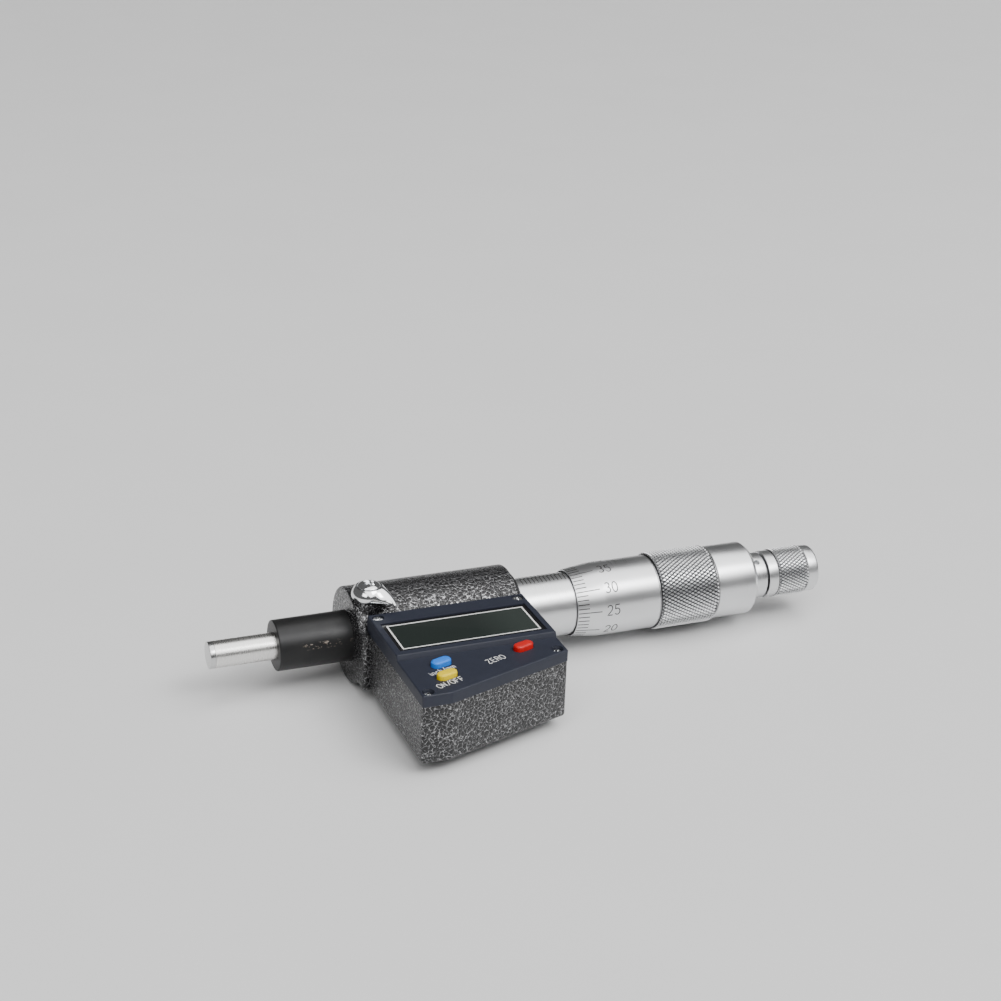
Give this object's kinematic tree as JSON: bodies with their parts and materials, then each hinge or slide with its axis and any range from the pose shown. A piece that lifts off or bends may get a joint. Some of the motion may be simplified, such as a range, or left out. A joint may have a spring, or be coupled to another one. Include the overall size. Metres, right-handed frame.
{
  "type": "digital micrometer measuring head",
  "caption": "Electronic outside micrometer head with a plain mounting stem, spindle and thimble with ratchet stop, clamp lever, and a display box with push buttons.",
  "frame": {"origin": "on the spindle axis, in the plane where the mounting stem meets the housing's end face", "axes": "+X along the spindle from its measuring face towards the ratchet stop, +Z out of the display face, -Y towards the button edge of the display box"},
  "size_m": [0.1557, 0.0593, 0.0268],
  "materials": {
    "hammered_paint": "hammered black with silver veins",
    "black_steel": "satin black oxide",
    "ground_steel": "finely ground",
    "carbide": "lapped hard metal",
    "satin_chrome": "satin chrome",
    "bright_chrome": "polished chrome",
    "machined_steel": "turned",
    "spring_steel": "blued spring steel",
    "dark_ring": "satin black",
    "navy_plastic": "fine matt texture",
    "window": "clear pane",
    "lcd": "grey-green glass",
    "black_plastic": "moulded",
    "board_green": "solder mask",
    "chip_black": "moulded",
    "contact_rubber": "layered conductive rubber",
    "grey_rubber": "silicone",
    "seal_rubber": "nitrile",
    "contact_brass": "plated",
    "bearing_bronze": "turned bronze",
    "film": "polyimide film",
    "cell_steel": "nickel plated",
    "blue_plastic": "satin",
    "yellow_plastic": "satin",
    "red_plastic": "satin"
  },
  "bodies": {
    "housing": {"casting": "hammered_paint", "stem": "black_steel", "thread_sleeve": "machined_steel", "graduated_sleeve": "satin_chrome", "collar_ring": "dark_ring", "adjusting_nut": "machined_steel", "sleeve_grub_screw": "spring_steel", "cover": "navy_plastic", "lcd_window": "window", "lcd_module": "lcd", "lcd_holder": "black_plastic", "contact_strip_front": "contact_rubber", "contact_strip_rear": "contact_rubber", "circuit_board": "board_green", "processor": "chip_black", "key_mat": "grey_rubber", "encoder_spacer": "machined_steel", "encoder_stator": "board_green", "flex_lead": "film", "rotor_bush": "bearing_bronze", "battery_cell": "cell_steel", "battery_spring": "contact_brass", "battery_clip": "contact_brass", "cover_screw_1": "bright_chrome", "cover_screw_2": "bright_chrome", "cover_screw_3": "bright_chrome", "cover_screw_4": "bright_chrome", "lock_washer": "spring_steel"},
    "encoder_hub": {"encoder_rotor": "board_green", "drive_pin": "machined_steel", "rotor_clip": "spring_steel"},
    "spindle_set": {"spindle": "ground_steel", "measuring_tip": "carbide", "thimble": "satin_chrome", "ratchet_neck": "satin_chrome", "ratchet_wheel": "machined_steel", "ratchet_screw": "machined_steel"},
    "ratchet": {"ratchet_knob": "satin_chrome", "ratchet_spring": "spring_steel", "ratchet_end_cap": "satin_chrome"},
    "lock": {"lock_lever": "bright_chrome", "lock_pin": "machined_steel", "lock_screw": "bright_chrome"},
    "units_key": {"units_button": "blue_plastic"},
    "power_key": {"power_button": "yellow_plastic"},
    "zero_key": {"zero_button": "red_plastic"},
    "battery_door": {"battery_cap": "black_plastic", "battery_cap_seal": "seal_rubber"}
  },
  "joints": [
    {"name": "spindle_turn", "type": "hinge", "parent": "housing", "child": "encoder_hub", "pos_m": [0.02, 0, 0], "axis": [1, 0, 0], "range_deg": [-8540, 9461]},
    {"name": "spindle_feed", "type": "slide", "parent": "encoder_hub", "child": "spindle_set", "axis": [1, 0, 0], "range_m": [-0.01188, 0.01312]},
    {"name": "ratchet_turn", "type": "hinge", "parent": "spindle_set", "child": "ratchet", "pos_m": [0.115, 0, 0], "axis": [1, 0, 0], "continuous": true},
    {"name": "lock_swing", "type": "hinge", "parent": "housing", "child": "lock", "pos_m": [0.0039, -0.00475, 0.0114], "axis": [0, 0, 1], "range_deg": [-45, 0]},
    {"name": "units_press", "type": "slide", "parent": "housing", "child": "units_key", "axis": [0, 0, -1], "range_m": [0, 0.0006], "stiffness_N_per_m": 600, "springref_m": -0.0003},
    {"name": "power_press", "type": "slide", "parent": "housing", "child": "power_key", "axis": [0, 0, -1], "range_m": [0, 0.0006], "stiffness_N_per_m": 600, "springref_m": -0.0003},
    {"name": "zero_press", "type": "slide", "parent": "housing", "child": "zero_key", "axis": [0, 0, -1], "range_m": [0, 0.0006], "stiffness_N_per_m": 600, "springref_m": -0.0003},
    {"name": "battery_door_turn", "type": "hinge", "parent": "housing", "child": "battery_door", "pos_m": [0.024, -0.027, -0.0075], "axis": [0, 0, -1], "range_deg": [0, 40]}
  ],
  "couplings": [
    {"joint": "spindle_turn", "follows": "spindle_feed", "rad_per_m": 12566}
  ]
}
